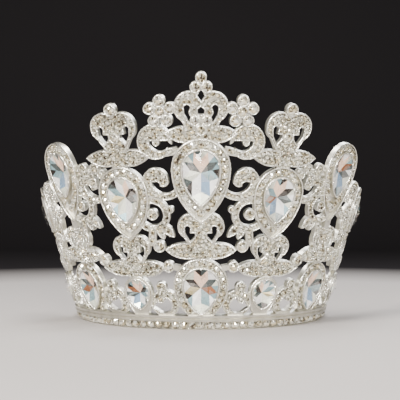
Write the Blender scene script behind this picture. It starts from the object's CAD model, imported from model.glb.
# Looks for the pageant crown: rims, pave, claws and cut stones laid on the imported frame
import math
import bpy
import numpy as np
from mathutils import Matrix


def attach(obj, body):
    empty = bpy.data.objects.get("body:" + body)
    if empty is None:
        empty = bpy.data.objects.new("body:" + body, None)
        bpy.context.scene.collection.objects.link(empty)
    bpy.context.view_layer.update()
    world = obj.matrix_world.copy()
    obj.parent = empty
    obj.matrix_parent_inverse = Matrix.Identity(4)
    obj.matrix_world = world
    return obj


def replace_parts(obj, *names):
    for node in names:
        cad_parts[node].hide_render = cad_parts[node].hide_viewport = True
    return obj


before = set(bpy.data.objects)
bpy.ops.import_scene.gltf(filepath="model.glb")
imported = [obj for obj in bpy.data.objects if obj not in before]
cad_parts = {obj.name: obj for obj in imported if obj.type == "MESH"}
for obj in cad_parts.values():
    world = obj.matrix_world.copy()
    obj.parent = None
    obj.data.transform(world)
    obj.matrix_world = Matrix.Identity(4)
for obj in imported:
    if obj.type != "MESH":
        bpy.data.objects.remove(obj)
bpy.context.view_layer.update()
mm = 0.001
print("frame loaded")


# Shader helpers: a wire is one socket that takes part in sums

class Wire:
    def __init__(self, tree, socket):
        self.tree, self.socket = tree, socket

    # One node of any kind, with its settings and its input values by name or number
    def node(self, kind, settings=None, values=None, output=0):
        made = self.tree.nodes.new(kind)
        for key, value in (settings or {}).items():
            setattr(made, key, value)
        for key, value in (values or {}).items():
            if isinstance(value, Wire):
                self.tree.links.new(value.socket, made.inputs[key])
            else:
                made.inputs[key].default_value = value
        return Wire(self.tree, made.outputs[output])

    def maths(self, operation, first, second=0.0):
        return self.node("ShaderNodeMath", {"operation": operation}, {0: first, 1: second})

    def __add__(self, other):
        return self.maths("ADD", self, other)

    def __sub__(self, other):
        return self.maths("SUBTRACT", self, other)

    def __mul__(self, other):
        return self.maths("MULTIPLY", self, other)

    def __truediv__(self, other):
        return self.maths("DIVIDE", self, other)

    def __pow__(self, other):
        return self.maths("POWER", self, other)

    # One colour where the wire is 0 and the other where it is 1
    def blend(self, low, high):
        return self.node("ShaderNodeMix", {"data_type": "RGBA"}, {0: self, 6: low, 7: high}, 2)

    def clamped(self):
        return self.node("ShaderNodeClamp", {}, {0: self})

    # Soft noise with so many patches per metre
    def noise(self, size, detail=2):
        return self.node("ShaderNodeTexNoise", {}, {"Vector": self, "Scale": size, "Detail": detail})

    def into(self, socket):
        self.tree.links.new(self.socket, socket)


# A material with one surface shader; returns the material, its shader's inputs and a wire of the place
def newMaterial(name):
    material = bpy.data.materials.new(name)
    material.use_nodes = True
    tree = material.node_tree
    coords = tree.nodes.new("ShaderNodeTexCoord")
    return material, tree.nodes["Principled BSDF"].inputs, Wire(tree, coords.outputs["Object"])


brightLook = {
    "name": "brightSilver",
    "bright": (0.97, 0.96, 0.89, 1),
    "dull": (0.78, 0.76, 0.68, 1),
    "wearSize": 160,      # patches of wear per metre
    "wearGain": 1.6, "wearFrom": 0.3,
    "roughLow": 0.16, "roughSpan": 0.2,
    "grainSize": 900,     # grains per metre
    "grainDepth": 0.00003, "grainStrength": 0.6,
}
castLook = dict(brightLook, name="castSilver", bright=(0.84, 0.82, 0.74, 1), dull=(0.52, 0.5, 0.43, 1),
                roughLow=0.22, roughSpan=0.25)


# Cast silver: colour and roughness wander with two sizes of noise, and a fine grain bumps the surface
def makeMetal(look):
    material, inputs, place = newMaterial(look["name"])
    fine = place.noise(look["grainSize"])
    wear = (place.noise(look["wearSize"], 3) * look["wearGain"] - look["wearFrom"]).clamped()
    bump = {"Height": fine, "Distance": look["grainDepth"], "Strength": look["grainStrength"]}
    wear.blend(look["dull"], look["bright"]).into(inputs["Base Color"])
    (fine * look["roughSpan"] + look["roughLow"]).into(inputs["Roughness"])
    place.node("ShaderNodeBump", {}, bump).into(inputs["Normal"])
    inputs["Metallic"].default_value = 1
    return material


# A chance number from 0 to 1 for each facet, by the way that it faces, rounded to a step
def facetShade(place, step):
    facing = Wire(place.tree, place.tree.nodes.new("ShaderNodeNewGeometry").outputs["True Normal"])
    snapped = facing.node("ShaderNodeVectorMath", {"operation": "SNAP"}, {0: facing, 1: (step, step, step)})
    return place.node("ShaderNodeTexWhiteNoise", {"noise_dimensions": "3D"}, {"Vector": snapped})


facetLook = {
    "name": "foiledFacets",
    "light": (0.98, 0.98, 0.89, 1),
    "warm": (0.8, 0.7, 0.46, 1),
    "dark": (0.065, 0.048, 0.032, 1),
    "step": 0.11,
    "darkShare": 0.42,    # the share of facets that mirror something dark
    "warmShare": 0.4,
    "patchSize": 320,     # patches per metre
    "patchShare": 0.9,    # how much the share of dark facets wanders from stone to stone
    "contrast": 5,
    "roughLow": 0.04, "roughSpan": 0.1,
    "metallic": 0.85, "coat": 0.5, "coatRoughness": 0.02,
}


# Small foiled stones: every facet takes its own shade, by the way that it faces and by the stone it is on
def makeFacets(look):
    material, inputs, place = newMaterial(look["name"])
    patch = place.noise(look["patchSize"], 1)
    warmth = ((patch - 0.5) * look["contrast"] + look["warmShare"]).clamped()
    darkness = facetShade(place, look["step"]) - 1 + look["darkShare"] + (patch - 0.5) * look["patchShare"]
    pale = warmth.blend(look["light"], look["warm"])
    (darkness * look["contrast"]).clamped().blend(pale, look["dark"]).into(inputs["Base Color"])
    (patch * look["roughSpan"] + look["roughLow"]).into(inputs["Roughness"])
    inputs["Metallic"].default_value = look["metallic"]
    inputs["Coat Weight"].default_value = look["coat"]
    inputs["Coat Roughness"].default_value = look["coatRoughness"]
    return material


glassLook = {
    "name": "clearGlass",
    "clear": (1, 1, 1, 1),
    "tint": (1, 0.95, 0.9, 1),
    "step": 0.09,
    "alphaLow": 0.02,     # the share of light that a facet mirrors; the rest goes through to the foil
    "alphaSpan": 0.45,
    "alphaPower": 5.0,    # the higher, the fewer facets mirror much
    "roughness": 0.03,
}


# Cut glass over foil: every facet mirrors its own share of light
def makeGlass(look):
    material, inputs, place = newMaterial(look["name"])
    shade = facetShade(place, look["step"])
    shade.blend(look["clear"], look["tint"]).into(inputs["Base Color"])
    (shade ** look["alphaPower"] * look["alphaSpan"] + look["alphaLow"]).into(inputs["Alpha"])
    inputs["Metallic"].default_value = 1
    inputs["Roughness"].default_value = look["roughness"]
    return material


foilLook = {
    "name": "foilBack",
    "metallic": 0.55,
    "roughLow": 0.16, "roughSpan": 0.2,
    "cloud": (0.86, 0.84, 0.83, 1),
    "cloudSize": 240,     # clouds per metre
    "cloudGain": 2, "cloudFrom": 0.6,
}


# The foil behind the glass takes its colour from each facet's tone, with a faint cloud over it
def makeFoil(look):
    material, inputs, place = newMaterial(look["name"])
    tone = place.node("ShaderNodeAttribute", {"attribute_name": "tone"})
    cloud = place.noise(look["cloudSize"])
    veil = (cloud * look["cloudGain"] - look["cloudFrom"]).clamped()
    shaded = place.node("ShaderNodeMix", {"data_type": "RGBA", "blend_type": "MULTIPLY"},
                        {0: veil, 6: tone, 7: look["cloud"]}, 2)
    shaded.into(inputs["Base Color"])
    (cloud * look["roughSpan"] + look["roughLow"]).into(inputs["Roughness"])
    inputs["Metallic"].default_value = look["metallic"]
    return material


silver = makeMetal(brightLook)
castSilver = makeMetal(castLook)
facets = makeFacets(facetLook)
glass = makeGlass(glassLook)
foil = makeFoil(foilLook)
print("materials made")


# The wall's plates. On a plate, u runs across, v up the slope and w out from the back, all in millimetres.

wall = {
    "footR": 69.0, "lean": 17.0, "step": 25.5, "turnShare": 0.75,
    "plateT": 2.4, "rimW": 0.7, "ledgeV": 9.0, "footV": 6.8, "haloSink": 2, "bandHalf": 112,
    "haloW": 5.8, "tipShare": 1.7, "bezelT": 0.92, "bezelH": 1.2,
    "collarW": 0.75, "collarH": 0.7,
    "leafLen": 18.5, "leafT": 4.4, "footShare": 1.45,
    "lowLeafRise": 0.85, "topLeafRise": 0.35, "topLobeRise": 0.5,      # shares of leafT
    "bigRise": 0.25,      # a share of the lobe radius
}
lean = math.radians(wall["lean"])

# One row per column, front to end. The rises are the extra heights under each motif, and the longer tip.
columns = [
    {"turn": 0, "big": (18.6, 28.6), "low": (18, 25), "lowHaloW": 5.3, "lobe": 7.0, "topLobe": 8.0,
     "rises": {"low": 1.2, "lobe": 3.7, "big": 0, "leaf": 0, "top": 0.7, "tip": 0}},
    {"turn": 0.5, "big": (16.8, 23.6), "low": (13, 16), "lowHaloW": 1.8, "lobe": 6.3, "topLobe": 7.6,
     "rises": {"low": 3.6, "lobe": 3.6, "big": 2.2, "leaf": 2.5, "top": 3.6, "tip": 0}},
    {"turn": 0, "big": (16.8, 23.6), "low": (16.4, 22), "lowHaloW": 4.8, "lobe": 6.3, "topLobe": 0,
     "rises": {"low": 1.4, "lobe": 1.3, "big": 12.2, "leaf": 0, "top": 0, "tip": 5.4}},
    {"turn": 0, "big": (14, 20), "low": (13, 16), "lowHaloW": 1.8, "lobe": 6.3, "topLobe": 0,
     "rises": {"low": 3.6, "lobe": 0, "big": 0, "leaf": 0, "top": 0, "tip": 0}},
]
last = len(columns) - 1


# A pear is its width and its height. It rises this far from its tip to its widest place.
def pearRise(pear):
    return pear[1] - pear[0] / 2


def archRadius(pear):
    return (pearRise(pear) ** 2 + (pear[0] / 2) ** 2) / pear[0]


# A margin all round, times the share at the tip
def grown(pear, margin, share):
    return (pear[0] + 2 * margin, pear[1] + margin * (1 + share))


def smaller(halo, margin):
    return grown(halo, -margin, wall["tipShare"])


# Half the width of a pear at a height above its widest place
def pearEdge(pear, dv):
    r, arch = pear[0] / 2, archRadius(pear)
    upper = np.sqrt(np.maximum(0, r * r - dv * dv))
    lower = np.sqrt(np.maximum(0, arch * arch - dv * dv)) - arch + r
    return np.where(dv > 0, upper, lower)


# Each motif stands on the one under it, from the ledge up
for column in columns:
    more, leafT, foot = column["rises"], wall["leafT"], wall["footShare"]
    low, halo, lobe = column["low"], column["lowHaloW"], column["lobe"]
    bigHalo = grown(column["big"], wall["haloW"], wall["tipShare"])
    column["lowV"] = wall["ledgeV"] + more["low"] + pearRise(low)
    column["lowHalo"] = (low[0] + 2 * halo,
                         low[0] / 2 + halo + column["lowV"] - wall["footV"] + wall["haloSink"])
    column["lowLeafV"] = column["lowV"] + low[0] / 2 + halo + wall["lowLeafRise"] * leafT
    column["lobeV"] = column["lowLeafV"] + foot * lobe + more["lobe"]
    column["bigV"] = column["lobeV"] + wall["bigRise"] * lobe + pearRise(bigHalo) + more["big"]
    column["bigHalo"] = (bigHalo[0], bigHalo[1] + more["tip"])
    column["topLeafV"] = (column["bigV"] + column["big"][0] / 2 + wall["haloW"] + wall["topLeafRise"] * leafT
                          + more["leaf"])
    column["topLobeV"] = (column["topLeafV"] + foot * column["topLobe"] + wall["topLobeRise"] * leafT
                          + more["top"])


def wallRadius(v):
    return wall["footR"] + v * math.sin(lean)


def halfPitch(v):
    return wallRadius(v) * math.radians(wall["step"] / 2)


def columnShift(c, v):
    turn = columns[c]["turn"]
    return v * math.sin(math.radians(turn)) - wallRadius(v) * math.radians(wall["turnShare"] * turn)


def haloEdge(c, v, size):
    return float(pearEdge(columns[c][size + "Halo"], v - columns[c][size + "V"]))


# On the plate between column c and the next, where the big or low halo of column c ends at a height
def near(c, v, size="big"):
    return columnShift(c, v) + haloEdge(c, v, size) - halfPitch(v)


# Where the halo of the next column starts; past the last column, one comma away
def far(c, v, size="big"):
    if c == last:
        return near(c, v, size) + commaScroll["span"]
    return halfPitch(v) + columnShift(c + 1, v) - haloEdge(c + 1, v, size)


# Turned clockwise: u cos a + v sin a across, v cos a - u sin a up
def turned(p, degrees):
    a = math.radians(degrees)
    return np.stack([p[..., 0] * math.cos(a) + p[..., 1] * math.sin(a),
                     p[..., 1] * math.cos(a) - p[..., 0] * math.sin(a)], -1)


# Plate points to the crown's frame: turned in the plate, leaned back, moved to the foot radius and turned
# round the axis by the plate's place
def onWall(points, plate):
    q, w = turned(points, plate["turn"]), points[..., 2]
    y = -wall["footR"] - q[..., 1] * math.sin(lean) - w * math.cos(lean)
    z = q[..., 1] * math.cos(lean) - w * math.sin(lean)
    b = math.radians(plate["steps"] * wall["step"] - wall["turnShare"] * plate["turn"])
    x = plate["side"] * (q[..., 0] * math.cos(b) - y * math.sin(b))
    return np.stack([x, q[..., 0] * math.sin(b) + y * math.cos(b), z], -1) * mm


# Every plate: its kind, its column, its place in steps, its turn and its side
plates = [{"kind": "column", "c": 0, "steps": 0, "turn": 0, "side": 1}]
for side in (1, -1):
    for c in range(last + 1):
        if c > 0:
            plates.append({"kind": "column", "c": c, "steps": c, "turn": columns[c]["turn"], "side": side})
        plates.append({"kind": "between", "c": c, "steps": c + 0.5, "turn": 0, "side": side})


# Shapes on a plate: a field, which is the distance to the edge and below zero inside it, and the edge's lines

class Shape:
    def __init__(self, field, lines=()):
        self.field, self.lines = field, list(lines)

    # Either shape: the lesser field
    def __or__(self, other):
        return Shape(lambda p: np.minimum(self.field(p), other.field(p)), self.lines + other.lines)

    # Both shapes: the greater field
    def __and__(self, other):
        return Shape(lambda p: np.maximum(self.field(p), other.field(p)), self.lines + other.lines)

    # The shape without the other: the other's field changes its sign
    def __sub__(self, other):
        return Shape(lambda p: np.maximum(self.field(p), -other.field(p)), self.lines + other.lines)

    # Turned and scaled about the plate's origin, then moved
    def moved(self, move, degrees=0, scale=1):
        move = np.asarray(move, float)
        return Shape(lambda p: self.field(turned(p - move, degrees) / scale) * scale,
                     [turned(line, -degrees) * scale + move for line in self.lines])

    # The right half and its mirror image: u becomes its own size without the sign
    def mirrored(self):
        return Shape(lambda p: self.field(np.stack([np.abs(p[..., 0]), p[..., 1]], -1)),
                     self.lines + [line * [-1, 1] for line in self.lines])


def discField(p, centre, r):
    return np.hypot(p[..., 0] - centre[0], p[..., 1] - centre[1]) - r


def discLine(centre, r):
    a = np.linspace(0, 2 * math.pi, max(24, int(r * 14)), endpoint=False)
    return np.stack([centre[0] + r * np.cos(a), centre[1] + r * np.sin(a)], -1)


def disc(centre, r):
    return Shape(lambda p: discField(p, centre, r), [discLine(centre, r)])


# A half circle above the widest place and two arcs that meet in a tip below it
def pearField(p, pear, v=0.0):
    q = p - np.array([0.0, v])
    r, arch = pear[0] / 2, archRadius(pear)
    lower = np.maximum(discField(q, (arch - r, 0), arch), discField(q, (r - arch, 0), arch))
    return np.where(q[..., 1] > 0, discField(q, (0, 0), r), lower)


# A pear from one low height up its right side, round its top and down its left side
def pearLine(pear, v, lowDv, n=24):
    down = lowDv * (1 - np.arange(n + 1) / n)
    a = np.radians(90 * np.arange(1, 2 * n + 1) / n)
    up = lowDv * np.arange(1, n + 1) / n
    r = pear[0] / 2
    right = np.stack([pearEdge(pear, down), down], -1)
    top = np.stack([r * np.cos(a), r * np.sin(a)], -1)
    left = np.stack([-pearEdge(pear, up), up], -1)
    return np.concatenate([right, top, left]) + [0, v]


# A leaf lies between two arcs of one radius, from the plate's origin to its length
def leaf(length, half):
    r = (length * length / 4 + half * half) / (2 * half)
    u = np.linspace(0, length, 40)
    top = np.sqrt(r * r - (u - length / 2) ** 2) - (r - half)
    line = np.concatenate([np.stack([u, top], -1), np.stack([u[::-1], -top[::-1]], -1)[1:-1]])
    return Shape(lambda p: np.maximum(discField(p, (length / 2, r - half), r),
                                      discField(p, (length / 2, half - r), r)), [line])


# The least distance to an edge between corners, negative where an odd number of edges lie to the right
def loopField(p, corners):
    after = np.roll(corners, -1, 0)
    run = after - corners
    q = p[..., None, :] - corners
    t = np.clip((q * run).sum(-1) / (run * run).sum(-1), 0, 1)
    away = np.linalg.norm(q - t[..., None] * run, axis=-1).min(-1)
    passed = (corners[:, 1] > p[..., 1:2]) != (after[:, 1] > p[..., 1:2])
    slant = run[:, 0] / np.where(run[:, 1] == 0, 1e-9, run[:, 1])
    cross = corners[:, 0] + (p[..., 1:2] - corners[:, 1]) * slant
    inside = (passed & (p[..., 0:1] < cross)).sum(-1) % 2 == 1
    return np.where(inside, -away, away)


# Points at even steps along each edge between corners
def loopLine(corners, step=0.4):
    edges = []
    for a, b in zip(corners, np.roll(corners, -1, 0)):
        count = max(3, int(np.hypot(*(b - a)) / step))
        edges.append(a + (b - a) * np.linspace(0, 1, count, endpoint=False)[:, None])
    return np.concatenate(edges)


def loop(corners, scale=1):
    corners = np.array(corners, float) * scale
    return Shape(lambda p: loopField(p, corners), [loopLine(corners)])


# A bar with square ends, whose edge gets no rim
def bar(start, end, width):
    start, end = np.array(start, float), np.array(end, float)
    run = end - start
    length = np.hypot(*run)

    def field(p):
        along = (p - start) @ (run / length)
        across = (p - start) @ (np.array([-run[1], run[0]]) / length)
        return np.maximum(np.abs(along - length / 2) - length / 2, np.abs(across) - width / 2)
    return Shape(field)


# A part of a ring, from one angle to another
def ring(centre, r, width, fromDeg, toDeg):
    def field(p):
        q = p - np.array(centre, float)
        angle = np.degrees(np.arctan2(q[..., 1], q[..., 0]))
        off = np.abs((angle - (fromDeg + toDeg) / 2 + 180) % 360 - 180) - (toDeg - fromDeg) / 2
        return np.maximum(np.abs(np.hypot(q[..., 0], q[..., 1]) - r) - width / 2,
                          np.radians(off) * np.hypot(q[..., 0], q[..., 1]))
    return Shape(field, [discLine(centre, r + width / 2), discLine(centre, r - width / 2)])


# All that is below a level, with a line along it from start to end and back, a hair off it
def below(level, start, end, hair=-0.01):
    corners = np.array([(start, level), (end, level), (end, level + hair)])
    return Shape(lambda p: p[..., 1] - level, [loopLine(corners)])


def above(level):
    return Shape(lambda p: level - p[..., 1])


# Hearts and leaves of a column. Corners are shares of the lobe radius.

heartLook = {
    "foot": [(-1.42, -0.57), (-0.7, 0.3), (0.7, 0.3), (1.42, -0.57), (0.7, -1.72), (-0.7, -1.72)],
    "wideComma": [(1.2, -0.15), (1.14, -0.6), (0.79, -1.18), (0.46, -0.8), (0.43, -0.52), (0.82, -0.5),
                  (0.78, -0.15)],
    "slimComma": [(1.08, -0.05), (1.03, -0.45), (0.72, -1.02), (0.64, -0.62), (0.78, -0.36), (0.68, -0.05)],
    "cleft": [(0, 0.36), (0.25, 0.7), (0, 1.06), (-0.25, 0.7)],
    "eye": [(0, 0.06), (0.22, -0.16), (0.18, -0.46), (-0.18, -0.46), (-0.22, -0.16)],
    "bulbR": 0.2,         # the round top of the comma gap
    "spread": 0.72,       # from the middle line to a lobe's middle
}


# Two lobes on a foot, less a comma gap on each side and the gaps on the middle line
def heart(r, comma, *middle):
    look = heartLook
    corners = look[comma]
    bulb = ((corners[0][0] + corners[-1][0]) / 2 * r, corners[0][1] * r)
    gap = (loop(corners, r) | disc(bulb, look["bulbR"] * r)).mirrored()
    for name in middle:
        gap |= loop(look[name], r)
    return (disc((look["spread"] * r, 0), r).mirrored() | loop(look["foot"], r)) - gap


leafLook = {"rootShare": 0.7, "tilt": 4, "knotShare": 1.25}      # shares of leafT; the tilt in degrees


# A leaf to each side with its root past the middle line, and a knot on it
def leaves():
    half = wall["leafT"]
    root = leafLook["rootShare"] * half
    one = leaf(wall["leafLen"] + root, half).moved((-root, 0)).moved((0, 0), leafLook["tilt"])
    return one.mirrored() | disc((0, 0), leafLook["knotShare"] * half)


def columnMotif(c):
    column = columns[c]
    found = leaves().moved((0, column["lowLeafV"]))
    found |= heart(column["lobe"], "wideComma").moved((0, column["lobeV"]))
    if column["topLobe"]:
        kind = ("slimComma", "cleft", "eye") if c == 0 else ("wideComma",)
        found |= leaves().moved((0, column["topLeafV"]))
        found |= heart(column["topLobe"], *kind).moved((0, column["topLobeV"]))
    return found


commaScroll = {
    "span": 15.9, "overlap": 1.2, "drop": 2,
    "head": (1.1, 0), "headR": 6.9, "tail": (-2.5, 3.5), "tailR": 12, "tailW": 3.8, "tailDeg": (-128, -25),
    "bite": (-3.4, 0.2), "biteR": 6.9, "biteTop": -0.5, "biteLine": (-12, 9),
    "ball": (-2.6, 0.4), "ballR": 3.5, "nick": (0.7, -2.2), "nickR": 1.8,
}


# A comma between two large pears: a round head and a tail, less a bite with a ball in it and a nick
def commaMotif(c):
    s = commaScroll
    v = (columns[c]["bigV"] + columns[min(c + 1, last)]["bigV"]) / 2 - s["drop"] * c
    start, end = near(c, v), far(c, v)
    bite = (disc(s["bite"], s["biteR"]) - disc(s["ball"], s["ballR"])) & below(s["biteTop"], *s["biteLine"])
    body = disc(s["head"], s["headR"]) | ring(s["tail"], s["tailR"], s["tailW"], *s["tailDeg"])
    scale = (end - start + s["overlap"]) / s["span"]
    return (body - bite - disc(s["nick"], s["nickR"])).moved(((start + end) / 2, v), 0, scale)


ringScroll = {
    "rise": 2.8, "inset": 2.3,        # lobe radii over the next heart, and millimetres in from its pear
    "ballR": 3, "r": 7.6, "width": 3.6, "fromDeg": 70, "toDeg": 315,
    "knobAt": 9.9, "knobDeg": 165, "knobR": 1.9,
    "sprigs": [(228, 10.5, 2.2), (248, 8.5, 1.9)], "sprigFrom": 6,      # angle, length and half width
    "stemFrom": (0.1, -6.5), "stemTo": 1.6, "stemW": 3.8,
}


# A ring with a ball in it, a knob and two sprigs on its edge, and a stem down to the next small heart
def ringMotif(c):
    s, after = ringScroll, columns[c + 1]
    v = after["lobeV"] + s["rise"] * after["lobe"]
    centre = np.array([far(c, v) - s["inset"], v])
    a = math.radians(s["knobDeg"])
    found = disc((0, 0), s["ballR"]) | ring((0, 0), s["r"], s["width"], s["fromDeg"], s["toDeg"])
    found |= disc(s["knobAt"] * np.array([math.cos(a), math.sin(a)]), s["knobR"])
    for degrees, length, half in s["sprigs"]:
        found |= leaf(length, half).moved((s["sprigFrom"], 0)).moved((0, 0), degrees)
    stemTo = (centre[0] + s["stemTo"], after["lobeV"])
    return found.moved(centre) | bar(centre + s["stemFrom"], stemTo, s["stemW"])


# The gap in a round scroll: a round with a hooked end, less the curl that reaches into it
def curledEye(s):
    return (disc(s["eye"], s["eyeR"]) | loop(s["hook"])) - disc(s["curl"], s["curlR"])


crescentScroll = {
    "r": 9.1, "rise": 13.7, "overlap": 1,
    "eye": (-2.2, 0.3), "eyeR": 5.2, "eyeTop": 0.5, "eyeLine": (-10, 8, 0.01),
    "curl": (-0.6, -0.4), "curlR": 1.8, "hook": [(-10.4, -2.5), (-6.2, 0.6), (-6.2, -3.8)],
    "armLow": 5.2, "armIn": 2, "armFrom": -4.6, "armTo": -6.4, "armW": 3.9,
}


# A round scroll against the second column's top heart, with a curled eye and an arm to the centre pear's halo
def crescentMotif():
    s = crescentScroll
    v = columns[0]["bigV"] + s["rise"]
    edge = halfPitch(v) + columnShift(1, v) - (1 + heartLook["spread"]) * columns[1]["topLobe"]
    armStart = near(0, v - s["armLow"]) - edge + s["r"] - s["armIn"]
    body = disc((0, 0), s["r"]) | bar((armStart, s["armFrom"]), (0, s["armTo"]), s["armW"])
    hole = curledEye(s) & below(s["eyeTop"], *s["eyeLine"])
    return (body - hole).moved((edge - s["r"] + s["overlap"], v))


footScroll = {
    "lift": 6.6, "leastR": 7.6, "overlap": 1, "eye": (0.8, -1.2), "eyeR": 4.3, "curl": (2.4, 2), "curlR": 2.1,
    "hook": [(3, 1.8), (6.6, -2.4), (3, -4.7)], "floor": -4.9, "knobU": 1.6, "knobOver": 1.3, "knobR": 3,
}


# A round scroll between two low pears, cut level over the ledge, with a curled eye and a knob on top
def footMotif(c):
    s = footScroll
    v = wall["ledgeV"] + s["lift"]
    start, end = near(c, v, "low"), far(c, v, "low")
    r = max(s["leastR"], (end - start) / 2 + s["overlap"])
    body = (disc((0, 0), r) - curledEye(s)) & above(s["floor"])
    return (body | disc((s["knobU"], r + s["knobOver"]), s["knobR"])).moved(((start + end) / 2, v))


beadRow = {"rise": 10.5, "inset": 1, "zigzag": 3.2, "r": 3, "count": 5}


# Beads in a zigzag between two large pears
def beadMotif(c):
    s = beadRow
    v = columns[c]["bigV"] + s["rise"]
    start, end = near(c, v) + s["inset"], far(c, v)
    found = disc((start, v), s["r"])
    for i in range(1, s["count"]):
        found |= disc((start + (end - start) * i / (s["count"] - 1), v + s["zigzag"] * (i % 2)), s["r"])
    return found


def betweenMotif(c):
    found = commaMotif(c)
    if c < last:
        found |= footMotif(c) | ringMotif(c)
    if c == 1:
        found |= beadMotif(c)
    if c == 0:
        found |= crescentMotif()
    return found


motifs = {("column", c): columnMotif(c) for c in range(last + 1)}
motifs.update({("between", c): betweenMotif(c) for c in range(last + 1)})

singles = {
    "topD": 4.2, "crestD": 5, "petalD": 4.5, "heartD": 3.8, "linkD": 4.6,
    "topRise": 1.24, "crestRise": 1.18, "stack": 4.8, "tuck": 0.1,       # rises are shares of the lobe radius
    "pairAt": (0.36, -0.86), "lowAt": -0.75,
    "flowerAt": (-2.8, 29), "petals": 5, "petalFrom": 18, "petalGap": 0.3,
    "linkNear": (2.4, 3), "linkFar": (4.4, 2), "linkMid": (0.4, 1.4),
}


# Single round stones: their place on the plate and their diameter
def roundStones(plate):
    s, c, kind = singles, plate["c"], plate["kind"]
    column = columns[c]
    r, v = column["topLobe"], column["topLobeV"]
    if kind == "column" and c == 0:
        pair, crest = s["topD"] / 2 + wall["collarW"] - s["tuck"], v + s["topRise"] * r
        u, down = s["pairAt"]
        return [(0, crest + s["stack"], s["topD"]), (-pair, crest, s["topD"]), (pair, crest, s["topD"]),
                (-u * r, v + down * r, s["heartD"]), (u * r, v + down * r, s["heartD"]),
                (0, v - wall["footShare"] * r, s["heartD"])]
    if kind == "column" and c == 1:
        return [(0, v + s["crestRise"] * r, s["crestD"]), (0, v + s["lowAt"] * r, s["heartD"])]
    if kind == "between" and c == 0:
        u, v = s["flowerAt"][0], column["bigV"] + s["flowerAt"][1]
        reach = s["petalD"] + wall["collarW"] + s["petalGap"]
        a = np.radians(s["petalFrom"] + 360 / s["petals"] * np.arange(s["petals"]))
        found = [(u, v, s["petalD"])]
        found += [(u + reach * math.cos(t), v + reach * math.sin(t), s["petalD"]) for t in a]
        low, lowAfter = column["lowLeafV"], columns[1]["lowLeafV"]
        (firstU, firstV), (nextU, nextV) = s["linkNear"], s["linkFar"]
        return found + [(wall["leafLen"] - halfPitch(low) + firstU, low + firstV, s["linkD"]),
                        (near(0, lowAfter, "low") + nextU, lowAfter + nextV, s["linkD"])]
    if kind == "between" and c < last:
        mid = (column["lowLeafV"] + columns[c + 1]["lowLeafV"]) / 2
        return [(s["linkMid"][0], mid + s["linkMid"][1], s["linkD"])]
    return []


pearsOn = {"column": ("big", "low"), "between": ()}


# The field of each halo on a plate
def haloFields(plate, p):
    column = columns[plate["c"]]
    return [pearField(p, column[size + "Halo"], column[size + "V"]) for size in pearsOn[plate["kind"]]]


# The whole plate: motifs, halos and the lands of single stones
def plateField(plate, p):
    lands = [discField(p, (u, v), d / 2 + wall["collarW"]) for u, v, d in roundStones(plate)]
    return np.minimum.reduce([motifs[plate["kind"], plate["c"]].field(p)] + lands + haloFields(plate, p))


# The halos beside a plate between columns, as the plate sees them, each made smaller by the inset
def besideField(p, c, inset):
    found = []
    for k, side in ((c, -1), (c + 1, 1)):
        for size in ("big", "low") if k <= last else ():
            v = columns[k][size + "V"]
            q = turned(p - [side * halfPitch(v) + columnShift(k, v), v], -columns[k]["turn"])
            found.append(pearField(q, smaller(columns[k][size + "Halo"], inset)))
    return np.minimum.reduce(found)


# Places at even steps along a line
def evenly(line, count, closed):
    s = np.concatenate([[0], np.cumsum(np.linalg.norm(np.diff(line, axis=0), axis=1))])
    at = np.arange(count) / (count if closed else count - 1) * s[-1]
    return np.stack([np.interp(at, s, line[:, 0]), np.interp(at, s, line[:, 1])], -1)


def lengthOf(line):
    return np.linalg.norm(np.diff(line, axis=0), axis=1).sum()


print("outlines ready")


# Meshes: each piece gathers many parts and is made once

class Gather:
    def __init__(self):
        self.points, self.faces, self.count = [], [], 0

    # Points in a plate's own frame; a plate on the left is a mirror image, so its faces are turned round
    def add(self, plate, points, faces):
        points = onWall(points, plate).reshape(-1, 3)
        self.points.append(points)
        self.faces += [f[:, ::plate["side"]] + self.count for f in faces]
        self.count += len(points)


def addObject(name, data):
    made = bpy.data.objects.new(name, data)
    bpy.context.collection.objects.link(made)
    return made


# faces come as arrays with one row for each face
def makePiece(name, gather, materials, smooth=False, marks=None, tones=None):
    points = np.concatenate(gather.points)
    sizes = np.concatenate([np.full(len(f), f.shape[1]) for f in gather.faces])
    corners = np.concatenate([f.ravel() for f in gather.faces])
    mesh = bpy.data.meshes.new(name)
    mesh.vertices.add(len(points))
    mesh.vertices.foreach_set("co", points.astype(np.float32).ravel())
    mesh.loops.add(len(corners))
    mesh.loops.foreach_set("vertex_index", corners.astype(np.int32))
    mesh.polygons.add(len(sizes))
    mesh.polygons.foreach_set("loop_start", (np.cumsum(sizes) - sizes).astype(np.int32))
    mesh.polygons.foreach_set("loop_total", sizes.astype(np.int32))
    mesh.polygons.foreach_set("use_smooth", np.full(len(sizes), smooth))
    for material in materials:
        mesh.materials.append(material)
    if marks is not None:
        mesh.polygons.foreach_set("material_index", np.asarray(marks, np.int32))
    if tones is not None:
        layer = mesh.attributes.new("tone", "FLOAT_COLOR", "CORNER")
        layer.data.foreach_set("color", np.repeat(np.asarray(tones, np.float32), sizes, axis=0).ravel())
    mesh.update()
    mesh.validate()
    made = addObject(name, mesh)
    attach(made, "root")
    print(name, len(mesh.polygons), "faces")
    return made


# Rings of points joined by quads: ring i to ring i + 1, and round each ring
def gridFaces(rings, around, closed=False):
    i = np.arange(rings if closed else rings - 1)[:, None]
    j = np.arange(around)[None, :]
    a, b = i * around + j, i * around + (j + 1) % around
    c, d = ((i + 1) % rings) * around + (j + 1) % around, ((i + 1) % rings) * around + j
    return np.stack([a, b, c, d], -1).reshape(-1, 4)


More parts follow.
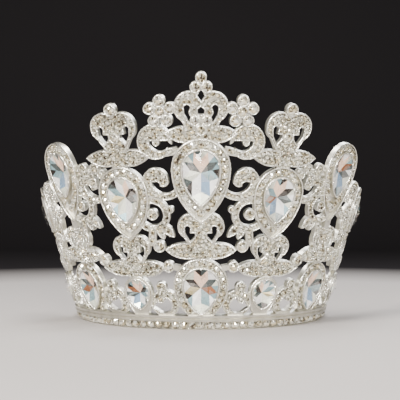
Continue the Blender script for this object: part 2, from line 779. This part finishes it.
# A round wire along a line on a plate: point + radius * (cos t * sideways + sin t * outwards)
def sweep(gather, plate, line, radius, w, closed, around=8):
    n = len(line)
    along = (np.roll(line, -1, 0) - np.roll(line, 1, 0)) if closed else np.gradient(line, axis=0)
    along /= np.maximum(np.linalg.norm(along, axis=1, keepdims=True), 1e-9)
    across = np.stack([-along[:, 1], along[:, 0]], -1)
    t = np.arange(around) / around * 2 * math.pi
    size = np.full(n, radius)
    if not closed:
        s = np.arange(n) / (n - 1)
        size = radius * np.sqrt(np.clip(np.minimum(s, 1 - s) * n / 2, 0.04, 1))
    side = size[:, None] * np.cos(t)
    points = np.concatenate([line[:, None, :] + side[..., None] * across[:, None, :],
                             w + (size[:, None] * np.sin(t))[..., None]], -1).reshape(-1, 3)
    faces = [gridFaces(n, around, closed)[:, ::-1]]
    if not closed:
        points = np.concatenate([points, np.concatenate([line[[0, -1]], np.full((2, 1), w)], -1)])
        j = np.arange(around)
        k, far = (j + 1) % around, (n - 1) * around
        faces += [np.stack([j, k, np.full(around, n * around)], -1),
                  np.stack([far + k, far + j, np.full(around, n * around + 1)], -1)]
    gather.add(plate, points, faces)


copySteps = {"spin": 2.399, "tipU": 1.7, "tipV": 2.9}      # radians from one copy to the next


# Many copies of a small solid: its points * size, spun about w, tipped a little and set at places on a plate
def scatter(gather, plate, places, size, solid, w, tip=0.0, stretch=1.0):
    places = np.asarray(places, float).reshape(-1, 2)
    if not len(places):
        return
    points, faces = solid
    n = np.arange(len(places))
    spin = (n * copySteps["spin"]) % (2 * math.pi)
    x = points[:, 0] * np.cos(spin)[:, None] - points[:, 1] * np.sin(spin)[:, None]
    y = points[:, 0] * np.sin(spin)[:, None] + points[:, 1] * np.cos(spin)[:, None]
    tipU, tipV = np.sin(n * copySteps["tipU"])[:, None], np.cos(n * copySteps["tipV"])[:, None]
    z = points[:, 2] * stretch + tip * (x * tipU + y * tipV)
    placed = np.stack([places[:, :1] + x * size, places[:, 1:] + y * size, w + z * size], -1)
    gather.add(plate, placed, [(f + (n * len(points))[:, None, None]).reshape(-1, f.shape[1]) for f in faces])


# Points at even angles round a circle of width 1, level with the girdle
def girdle(count):
    a = np.arange(count) / count * 2 * math.pi
    return np.stack([np.cos(a), np.sin(a), 0 * a], -1) / 2


# A small cut stone of width 1: a ring of eight at the girdle, a table of eight and a point at the back
def smallStone(table=0.56, rise=0.27, depth=0.4):
    edge = girdle(8)
    i, k = np.arange(8), (np.arange(8) + 1) % 8
    return (np.concatenate([edge, edge * table + [0, 0, rise], [[0, 0, -depth]]]),
            [np.stack([i, k, 8 + k, 8 + i], -1), np.stack([k, i, np.full(8, 16)], -1), (8 + i)[None, :]])


# A bead of width 1: three rings of six and two poles
def roundBead():
    h = np.radians([-50, 0, 50])[:, None, None]
    rings = (girdle(6) * 2 * np.cos(h) + np.sin(h) * [0, 0, 1]).reshape(-1, 3)
    i, k = np.arange(6), (np.arange(6) + 1) % 6
    return (np.concatenate([rings, [[0, 0, -1], [0, 0, 1]]]) / 2,
            [gridFaces(3, 6), np.stack([k, i, np.full(6, 18)], -1),
             np.stack([12 + i, 12 + k, np.full(6, 19)], -1)])


# A brilliant of width 1: sixteen points at the girdle, eight between, a table of eight, a point at the back
def brilliantStone(table=0.36, rise=0.27, mid=0.8, midRise=0.13, depth=0.36):
    edge = girdle(16)
    k = np.arange(8)
    g0, g1, g2, m, t = 2 * k, 2 * k + 1, (2 * k + 2) % 16, 16 + k, 24 + k
    mBefore, tAfter, culet = 16 + (k - 1) % 8, 24 + (k + 1) % 8, np.full(8, 32)
    sides = [(g0, g1, m), (g1, g2, m), (g0, m, t), (g0, t, mBefore), (m, tAfter, t),
             (g1, g0, culet), (g2, g1, culet)]
    return (np.concatenate([edge, edge[1::2] * mid + [0, 0, midRise], edge[::2] * table + [0, 0, rise],
                            [[0, 0, -depth]]]),
            [np.stack(f, -1) for f in sides] + [t[None]])


stone, brilliant, bead = smallStone(), brilliantStone(), roundBead()


# Rims

rimLook = {
    "radius": 0.35, "lift": 0.06, "inset": 0.34, "haloRadius": 0.4,      # millimetres, all of these
    "onEdge": 0.05, "overLedge": 0.4, "besideHalo": 0.3,
    "lipIn": 0.38, "lipRadius": 0.4, "lipDrop": 0.12,
    "collarOut": 0.46, "collarRadius": 0.33, "collarDrop": 0.08,
}


# Splits a closed line into the stretches where keep holds
def stretches(line, keep):
    if keep.all():
        return [(line, True)]
    if not keep.any():
        return []
    start = int(np.flatnonzero(~keep)[0])
    line, keep = np.roll(line, -start, 0), np.roll(keep, -start)
    edges = np.flatnonzero(np.diff(keep.astype(int))) + 1
    parts = zip(np.split(line, edges), np.split(keep, edges))
    return [(part, False) for part, on in parts if on[0] and len(part) > 3]


# The way in which a field rises fastest, from its change over a short step each way
def slopeOf(field, p, step=0.05):
    du = field(p + [step, 0]) - field(p - [step, 0])
    dv = field(p + [0, step]) - field(p - [0, step])
    g = np.stack([du, dv], -1)
    return g / np.maximum(np.linalg.norm(g, axis=-1, keepdims=True), 1e-9)


# Motifs have a wire along every stretch of their lines that is an edge of the whole plate, moved in a little.
# Halos, bezels and collars have a wire all round.
motifRims, haloRims = Gather(), Gather()
for plate in plates:
    look, top, floor = rimLook, wall["plateT"], wall["ledgeV"] + rimLook["overLedge"]
    kind, c = plate["kind"], plate["c"]
    for line in motifs[kind, c].lines:
        keep = (np.abs(plateField(plate, line)) < look["onEdge"]) & (line[:, 1] > floor)
        if kind == "between":
            keep &= besideField(line, c, look["besideHalo"]) > 0
        for part, closed in stretches(line, keep):
            part = part - look["inset"] * slopeOf(lambda p: plateField(plate, p), part)
            sweep(motifRims, plate, part, look["radius"], top + look["lift"], closed)
    for size in pearsOn[kind]:
        column, v, low = columns[c], columns[c][size + "V"], 0 if size == "big" else floor
        edge = smaller(column[size + "Halo"], look["inset"])
        lip = grown(column[size], wall["bezelT"] - look["lipIn"], 1)
        rim = pearLine(edge, v, max(low - v, -pearRise(edge)))[:-1]
        bezel = pearLine(lip, v, -pearRise(lip))[:-1]
        sweep(haloRims, plate, rim, look["haloRadius"], top + look["lift"], size == "big")
        sweep(haloRims, plate, bezel, look["lipRadius"], top + wall["bezelH"] - look["lipDrop"], True)
    for u, v, d in roundStones(plate):
        collar = discLine((u, v), d / 2 + look["collarOut"])[::-1]
        sweep(haloRims, plate, collar, look["collarRadius"], top + wall["collarH"] - look["collarDrop"], True)
makePiece("motif_rims", motifRims, [silver], smooth=True)
makePiece("halo_rims", haloRims, [silver], smooth=True)


# Pave

pave = {
    "stoneD": 2.15, "smallD": 1.45, "gap": 0.14, "girdle": 2.2, "smallDrop": 0.1,      # millimetres
    "tip": 0.09,
    "grainD": 0.62, "grainEvery": 1.05, "grainLift": 0.02, "grainStretch": 2.4,
    "smallFrom": 0.08, "grainFrom": 0.1, "grainMargin": 0.12,
    "aroundStone": 0.2, "aroundHalo": 0.3, "besideHalo": 0.1, "overLedge": 0.9,
    "halfWidth": 21, "over": 50,
    "rowD": 2.7, "rowGap": 0.15, "rowIn": 0.5, "rowDrop": 0.2, "rowOverLedge": 0.6, "rowFromW": 4,
}


# Rows that follow an outline: takes the free place nearest the edge and the last stone until none is free
def packRows(room, spacing, pull=0.35):
    points, depth = room
    found, lastPlace = [], None
    while len(points):
        cost = depth if lastPlace is None else depth + pull * np.linalg.norm(points - lastPlace, axis=1)
        lastPlace = points[int(np.argmin(cost))]
        found.append(lastPlace)
        free = np.linalg.norm(points - lastPlace, axis=1) >= spacing
        points, depth = points[free], depth[free]
    return np.array(found).reshape(-1, 2)


# Points of a fine net that lie in the field by more than a margin, and how deep
def roomOf(field, column, margin, step=0.16):
    u, v = np.meshgrid(np.arange(-pave["halfWidth"], pave["halfWidth"], step),
                       np.arange(wall["ledgeV"], column["bigV"] + pave["over"], step))
    points = np.stack([u.ravel(), v.ravel()], -1)
    depth = -field(points) - margin
    return points[depth > 0], depth[depth > 0]


def withoutStones(room, places, reach):
    points, depth = room
    if len(places) and len(points):
        away = np.min(np.linalg.norm(points[:, None, :] - places[None], axis=-1) - reach, axis=1)
        points, depth = points[away > 0], depth[away > 0]
    return points, depth


# The pocket that a plate's pave lies in: the motifs less a rim, the halos and the lands of single stones
def pocketField(plate, p):
    land = wall["collarW"] + pave["aroundStone"]
    holes = [discField(p, (u, v), d / 2 + land) for u, v, d in roundStones(plate)]
    holes += [halo - pave["aroundHalo"] for halo in haloFields(plate, p)]
    if plate["kind"] == "between":
        holes.append(besideField(p, plate["c"], 0) - pave["besideHalo"])
    field = motifs[plate["kind"], plate["c"]].field(p) + wall["rimW"]
    floor = wall["ledgeV"] + pave["overLedge"] - p[..., 1]
    return np.maximum.reduce([field, floor] + [-hole for hole in holes])


# A plate's large stones, then small ones in the room that is left, then grains between them all
def packPlate(plate):
    s, column = pave, columns[plate["c"]]

    def field(p):
        return pocketField(plate, p)
    large = packRows(roomOf(field, column, s["stoneD"] / 2), s["stoneD"] + s["gap"])
    room = withoutStones(roomOf(field, column, s["smallD"] / 2), large,
                         (s["stoneD"] + s["smallD"]) / 2 + s["smallFrom"])
    small = packRows(room, s["smallD"] + s["gap"])
    reach = np.repeat([s["stoneD"] / 2, s["smallD"] / 2], [len(large), len(small)]) + s["grainFrom"]
    room = withoutStones(roomOf(field, column, s["grainMargin"]), np.concatenate([large, small]), reach)
    return large, small, packRows(room, s["grainEvery"], 0)


# The row of stones in the halo of a low pear of a side column, where the halo is wide
def lowRow(plate):
    s, column = pave, columns[plate["c"]]
    if plate["kind"] == "between" or plate["c"] == 0 or column["lowHaloW"] <= s["rowFromW"]:
        return []
    middle = grown(column["low"], (column["lowHaloW"] - s["rowIn"] + wall["bezelT"]) / 2, 1)
    floor = wall["ledgeV"] + s["rowOverLedge"] + s["rowD"] / 2
    line = pearLine(middle, column["lowV"], max(floor - column["lowV"], -pearRise(middle)))
    return evenly(line, int(lengthOf(line) / (s["rowD"] + s["rowGap"])), False)


paveStones, paveGrains = Gather(), Gather()
packed = {}
for plate in plates:
    s, key = pave, (plate["kind"], plate["c"])
    if key not in packed:
        packed[key] = packPlate(plate)
    large, small, grains = packed[key]
    scatter(paveStones, plate, large, s["stoneD"], stone, s["girdle"], s["tip"])
    scatter(paveStones, plate, small, s["smallD"], stone, s["girdle"] - s["smallDrop"], s["tip"])
    scatter(paveStones, plate, lowRow(plate), s["rowD"], stone, wall["plateT"] - s["rowDrop"], s["tip"])
    scatter(paveGrains, plate, grains, s["grainD"], bead, s["girdle"] + s["grainLift"], 0, s["grainStretch"])
makePiece("pave_stones", paveStones, [facets])
makePiece("pave_grains", paveGrains, [silver], smooth=True)


# Claws and beads that hold the larger stones, and a finer cut of those stones

clawLook = {
    "haloD": 3.7, "lowHaloD": 3.26, "haloGap": 0.25, "lowFrom": 2.75, "haloDrop": 0.2, "haloTip": 0.03,
    "haloBead": 0.85, "haloBeadOut": 1.25, "haloBeadDrop": 0.25, "haloBeadStretch": 1.5,
    "pearClaw": 1.5, "pearClawShare": 0.11, "pearClaws": 6, "pearClawOut": 0.12,
    "singleDrop": 0.2, "collarBead": 0.8, "collarBeadOut": 0.12,
    "clawDrop": 0.05, "clawStretch": 0.9,
    "bandBead": 0.75, "bandBeadOut": 1.5, "bandBeadDrop": 0.1, "bandBeadStretch": 1.6,
}


# Even places halfway between a halo's bezel and its rim, down to a low height, and whether they go all round
def haloPlaces(pear, halo, v, low, stoneD):
    inner, outer = grown(pear, wall["bezelT"], 1), smaller(halo, wall["rimW"])
    middle = ((inner[0] + outer[0]) / 2, (inner[1] + outer[1]) / 2)
    closed = low < v - pearRise(middle)
    line = pearLine(middle, v, max(low - v, -pearRise(middle)))
    n = int(lengthOf(line) / (stoneD + clawLook["haloGap"]))
    return evenly(line, n if closed else n + 1, closed), closed


claws, haloBrilliants, singleBrilliants, bandBrilliants = Gather(), Gather(), Gather(), Gather()
for plate in plates:
    s, top, column = clawLook, wall["plateT"], columns[plate["c"]]
    for size in pearsOn[plate["kind"]]:
        low, stoneD = (0, s["haloD"]) if size == "big" else (wall["ledgeV"] + s["lowFrom"], s["lowHaloD"])
        edge = grown(column[size], s["pearClawOut"], 1)
        places = evenly(pearLine(edge, column[size + "V"], -pearRise(edge)), s["pearClaws"], True)
        clawD = min(s["pearClaw"], column[size][0] * s["pearClawShare"])
        scatter(claws, plate, places, clawD, bead, top + wall["bezelH"] - s["clawDrop"], 0, s["clawStretch"])
        if size == "low" and plate["c"] > 0:
            continue
        places, closed = haloPlaces(column[size], column[size + "Halo"], column[size + "V"], low, stoneD)
        scatter(haloBrilliants, plate, places, stoneD, brilliant, top - s["haloDrop"], s["haloTip"])
        after = np.roll(places, -1, 0)
        if not closed:
            places, after = places[:-1], after[:-1]
        middle, run = (places + after) / 2, after - places
        across = np.stack([-run[:, 1], run[:, 0]], -1) / np.linalg.norm(run, axis=1, keepdims=True)
        for out in (-s["haloBeadOut"], s["haloBeadOut"]):
            scatter(claws, plate, middle + out * across, s["haloBead"], bead, top - s["haloBeadDrop"], 0,
                    s["haloBeadStretch"])
    for u, v, d in roundStones(plate):
        scatter(singleBrilliants, plate, [(u, v)], d, brilliant, top + wall["collarH"] - s["singleDrop"])
        a, out = np.radians([45, 135, 225, 315]), d / 2 + s["collarBeadOut"]
        places = np.stack([u + out * np.cos(a), v + out * np.sin(a)], -1)
        scatter(claws, plate, places, s["collarBead"], bead, top + wall["collarH"] - s["clawDrop"], 0,
                s["clawStretch"])

# The row in the foot band: two beads between each stone and the next
band = {"stoneD": 4.2, "gap": 0.4, "wallT": 1.2, "channel": 5.8, "lip": 0.6, "raise": 0.35, "endDeg": 1}
bandV, bandW = band["channel"] / 2 + band["lip"], band["wallT"] + band["raise"] * band["stoneD"]
bandR = wall["footR"] + bandV * math.sin(lean) + bandW * math.cos(lean)
stepDeg = math.degrees((band["stoneD"] + band["gap"]) / bandR)
bandCount = int((wall["bandHalf"] - band["endDeg"]) / stepDeg)
for i in range(-bandCount, bandCount + 1):
    spot = {"steps": i * stepDeg / wall["step"], "turn": 0, "side": 1}
    scatter(bandBrilliants, spot, [(0, bandV)], band["stoneD"], brilliant, bandW)
    if i < bandCount:
        s, spot["steps"] = clawLook, (i + 0.5) * stepDeg / wall["step"]
        places = [(0, bandV - s["bandBeadOut"]), (0, bandV + s["bandBeadOut"])]
        scatter(claws, spot, places, s["bandBead"], bead, bandW - s["bandBeadDrop"], 0, s["bandBeadStretch"])
makePiece("claws", claws, [silver], smooth=True)
haloNodes = [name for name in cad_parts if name.startswith("halo_stones")]
singleNodes = [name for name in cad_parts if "_stone" in name and "stones" not in name]
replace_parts(makePiece("halo_brilliants", haloBrilliants, [facets]), *haloNodes)
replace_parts(makePiece("single_brilliants", singleBrilliants, [facets]), *singleNodes)
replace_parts(makePiece("band_brilliants", bandBrilliants, [facets]), "band_stones")


# Large pear stones, cut finer than the part's: table, stars, kites and girdle facets over a foiled back.
# The back has eight main facets round the culet, two of them side by side at the top.

pearCut = {
    "table": 0.5, "tableRise": 2.3, "midShare": 0.8, "midRise": 1.35, "backShare": 0.6, "backDepth": 1.5,
    "depth": 2.65, "middleDrop": 0.1, "sink": 0.2,
}

foilTones = {
    "cream": (0.93, 0.66, 0.5, 1), "white": (0.92, 0.93, 0.92, 1), "pale": (0.68, 0.71, 0.6, 1),
    "teal": (0.2, 0.31, 0.34, 1), "slate": (0.06, 0.075, 0.075, 1), "dark": (0.016, 0.012, 0.01, 1),
    "amber": (0.22, 0.085, 0.035, 1), "blue": (0.2, 0.3, 0.43, 1), "gold": (0.42, 0.35, 0.18, 1),
}

# Tones of the main facets anticlockwise from the right of the culet, for one stone after another
mainTones = [
    ("slate", "cream", "cream", "slate", "pale", "white", "blue", "teal"),
    ("slate", "cream", "cream", "dark", "gold", "white", "teal", "amber"),
    ("dark", "cream", "cream", "teal", "amber", "blue", "white", "slate"),
    ("teal", "white", "cream", "dark", "slate", "white", "pale", "gold"),
    ("amber", "cream", "cream", "dark", "teal", "white", "blue", "slate"),
]
rimTones = ("teal", "white", "slate", "pale", "white", "dark", "pale", "white", "teal", "pale")


# Sixteen points round a pear: nine at even angles over the top, three down each side and the tip
def pearRing(pear):
    r, high = pear[0] / 2, pearRise(pear)
    a = np.radians(22.5 * np.arange(9))
    dv = -high * np.arange(1, 4) / 4
    left = np.stack([-pearEdge(pear, dv), dv], -1)
    top = np.stack([r * np.cos(a), r * np.sin(a)], -1)
    return np.concatenate([top, left, [[0, -high]], (left * [-1, 1])[::-1]])


# Five levels of points, each drawn in towards the middle by its share: girdle, mid, table, back and culet
def cutPear(gather, plate, size, marks, tones, number):
    cut, column = pearCut, columns[plate["c"]]
    edge, middle = pearRing(column[size]), np.array([0, -cut["middleDrop"] * column[size][1]])
    even, odd = edge[::2], edge[1::2]
    levels = [(edge, 0), (middle + cut["midShare"] * (odd - middle), cut["midRise"]),
              (middle + cut["table"] * (even - middle), cut["tableRise"]),
              (middle + cut["backShare"] * (even - middle), -cut["backDepth"]), (middle[None], -cut["depth"])]
    points = np.concatenate([np.concatenate([p, np.full((len(p), 1), h)], -1) for p, h in levels])
    k = np.arange(8)
    g0, g1, g2 = 2 * k, 2 * k + 1, (2 * k + 2) % 16
    m, t, b, culet = 16 + k, 24 + k, 32 + k, np.full(8, 40)
    mBefore, bAfter, tAfter = 16 + (k - 1) % 8, 32 + (k + 1) % 8, 24 + (k + 1) % 8
    front = [(g0, g1, m), (g1, g2, m), (g0, m, t), (g0, t, mBefore), (m, tAfter, t)]
    back = [(g1, g0, b), (g2, g1, bAfter), (b, culet, g1), (g1, culet, bAfter)]
    faces = [np.stack(f, -1) for f in front + back] + [t[None]]
    place = [0, column[size + "V"], wall["plateT"] + wall["bezelH"] - cut["sink"]]
    gather.add(plate, points + place, faces)
    marks += [0] * 40 + [1] * 32 + [0]
    mains = [foilTones[tone] for tone in mainTones[number % len(mainTones)]]
    rims = [foilTones[rimTones[(i + 3 * number) % len(rimTones)]] for i in range(16)]
    tones += [foilTones["white"]] * 40 + rims + mains + mains + [foilTones["white"]]


pears, pearMarks, pearFoil, pearNodes = Gather(), [], [], []
for plate in plates:
    tail = "_%d_%s" % (plate["c"] + 1, "right" if plate["side"] > 0 else "left") if plate["c"] else "_1"
    for size in pearsOn[plate["kind"]]:
        cutPear(pears, plate, size, pearMarks, pearFoil, len(pearNodes))
        pearNodes.append(size + "_pear" + tail)
pearPiece = makePiece("cut_pears", pears, [glass, foil], marks=pearMarks, tones=pearFoil)
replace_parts(pearPiece, *pearNodes)

for name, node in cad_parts.items():
    if name not in pearNodes:
        node.data.materials.clear()
        node.data.materials.append(castSilver if name == "crown_frame" else facets)
print("frame dressed")


# Floor, lights and camera

stageLook = {
    "floor": (0.3, 0.285, 0.28, 1), "floorDeep": (0.26, 0.245, 0.24, 1), "far": (0.011, 0.01, 0.011, 1),
    "paleTo": 0.3, "farFrom": 0.5,      # metres from the crown's axis over which the pale floor turns dark
    "front": -3.0, "halfWidth": 2.5, "bendFrom": 0.9, "bend": 0.5, "high": 2.6,
    "softSize": 3, "roughLow": 0.7, "roughSpan": 0.1, "specular": 0.05,
}


# A sweep: flat floor, a quarter turn, then a wall; height is 0, then r - r cos a, then straight up
def makeFloor(look):
    a, r = np.linspace(0, math.pi / 2, 24), look["bend"]
    y = np.concatenate([[look["front"]], look["bendFrom"] + r * np.sin(a), [look["bendFrom"] + r]])
    z = np.concatenate([[0.0], r - r * np.cos(a), [look["high"]]])
    edge = np.stack([np.zeros_like(y), y, z], -1)
    points = np.concatenate([edge - [look["halfWidth"], 0, 0], edge + [look["halfWidth"], 0, 0]])
    n, i = len(edge), np.arange(len(edge) - 1)
    mesh = bpy.data.meshes.new("floor")
    mesh.from_pydata(points.tolist(), [], np.stack([i, n + i, n + i + 1, i + 1], -1).tolist())
    mesh.polygons.foreach_set("use_smooth", np.full(len(mesh.polygons), True))
    material, inputs, place = newMaterial("paleFloor")
    soft = place.noise(look["softSize"])
    away = place.node("ShaderNodeVectorMath", {"operation": "LENGTH"}, {0: place}, 1)
    fade = ((away - look["paleTo"]) / (look["farFrom"] - look["paleTo"])).clamped()
    fade.blend(soft.blend(look["floorDeep"], look["floor"]), look["far"]).into(inputs["Base Color"])
    (soft * look["roughSpan"] + look["roughLow"]).into(inputs["Roughness"])
    inputs["Specular IOR Level"].default_value = look["specular"]
    mesh.materials.append(material)
    addObject("floor", mesh)


makeFloor(stageLook)

# Dark cards stand beside and behind the camera, so that facets and rims have something dark to mirror
cardLook = {"name": "darkCard", "low": (0.02, 0.02, 0.022, 1), "high": (0.035, 0.033, 0.035, 1), "size": 5}
cards = [
    {"name": "card_left", "at": (-0.55, -0.45, 0.25), "size": (0.28, 0.9)},
    {"name": "card_right", "at": (0.55, -0.45, 0.25), "size": (0.28, 0.9)},
    {"name": "card_front", "at": (0.0, -1.05, 0.1), "size": (0.5, 0.34)},
    {"name": "card_top", "at": (0.0, -0.55, 0.75), "size": (0.9, 0.16)},
]
target = np.array([0.0, -0.06, 0.07])
cardMaterial, cardInputs, cardPlace = newMaterial(cardLook["name"])
cardPlace.noise(cardLook["size"]).blend(cardLook["low"], cardLook["high"]).into(cardInputs["Base Color"])


# Puts an object at a place and turns its own z axis away from the target
def aim(made, at):
    away = np.array(at) - target
    tilt, turn = math.atan2(math.hypot(away[0], away[1]), away[2]), math.atan2(away[1], away[0])
    made.location, made.rotation_euler = at, (tilt, 0, turn + math.pi / 2)


for card in cards:
    w, h = card["size"][0] / 2, card["size"][1] / 2
    mesh = bpy.data.meshes.new(card["name"])
    mesh.from_pydata([(-w, -h, 0), (w, -h, 0), (w, h, 0), (-w, h, 0)], [], [(0, 1, 2, 3)])
    mesh.materials.append(cardMaterial)
    made = addObject(card["name"], mesh)
    aim(made, card["at"])
    made.visible_camera = made.visible_shadow = made.visible_diffuse = False

lamps = [
    {"name": "key", "at": (-0.55, -0.75, 0.7), "size": 0.26, "watts": 30, "colour": (1, 0.95, 0.88)},
    {"name": "fill", "at": (0.8, -0.6, 0.35), "size": 0.3, "watts": 11, "colour": (1, 0.97, 0.93)},
    {"name": "top", "at": (0.0, -0.1, 0.9), "size": 0.4, "watts": 12, "colour": (1, 0.98, 0.95)},
    {"name": "back", "at": (0.25, 0.35, 0.5), "size": 0.3, "watts": 3, "colour": (0.93, 0.96, 1)},
    {"name": "front", "at": (0.12, -1.0, 0.28), "size": 0.16, "watts": 10, "colour": (1, 0.96, 0.9)},
    {"name": "spark_left", "at": (-0.35, -0.9, 0.12), "size": 0.06, "watts": 7, "colour": (1, 0.97, 0.93)},
    {"name": "spark_right", "at": (0.4, -0.95, 0.1), "size": 0.06, "watts": 7, "colour": (1, 0.97, 0.93)},
]
for lamp in lamps:
    light = bpy.data.lights.new(lamp["name"], "AREA")
    light.energy, light.size, light.color = lamp["watts"], lamp["size"], lamp["colour"]
    aim(addObject(lamp["name"], light), lamp["at"])

worldLook = {"colour": (1, 0.97, 0.93, 1), "strength": 0.36}
world = bpy.data.worlds.new("studio")
world.use_nodes = True
world.node_tree.nodes["Background"].inputs["Color"].default_value = worldLook["colour"]
world.node_tree.nodes["Background"].inputs["Strength"].default_value = worldLook["strength"]
bpy.context.scene.world = world

# The camera looks level from 600 mm in front of the crown's axis
view = {
    "away": 0.6, "height": 0.065, "lens": 90, "sensor": 36, "shiftX": -0.0025, "shiftY": 0.01725,
    "clip": 0.01,
}
camera = addObject("camera", bpy.data.cameras.new("camera"))
camera.location = (0, -view["away"], view["height"])
camera.rotation_euler = (math.pi / 2, 0, 0)
camera.data.lens, camera.data.sensor_width = view["lens"], view["sensor"]
camera.data.shift_x, camera.data.shift_y = view["shiftX"], view["shiftY"]
camera.data.clip_start = view["clip"]
bpy.context.scene.camera = camera
print("stage set")
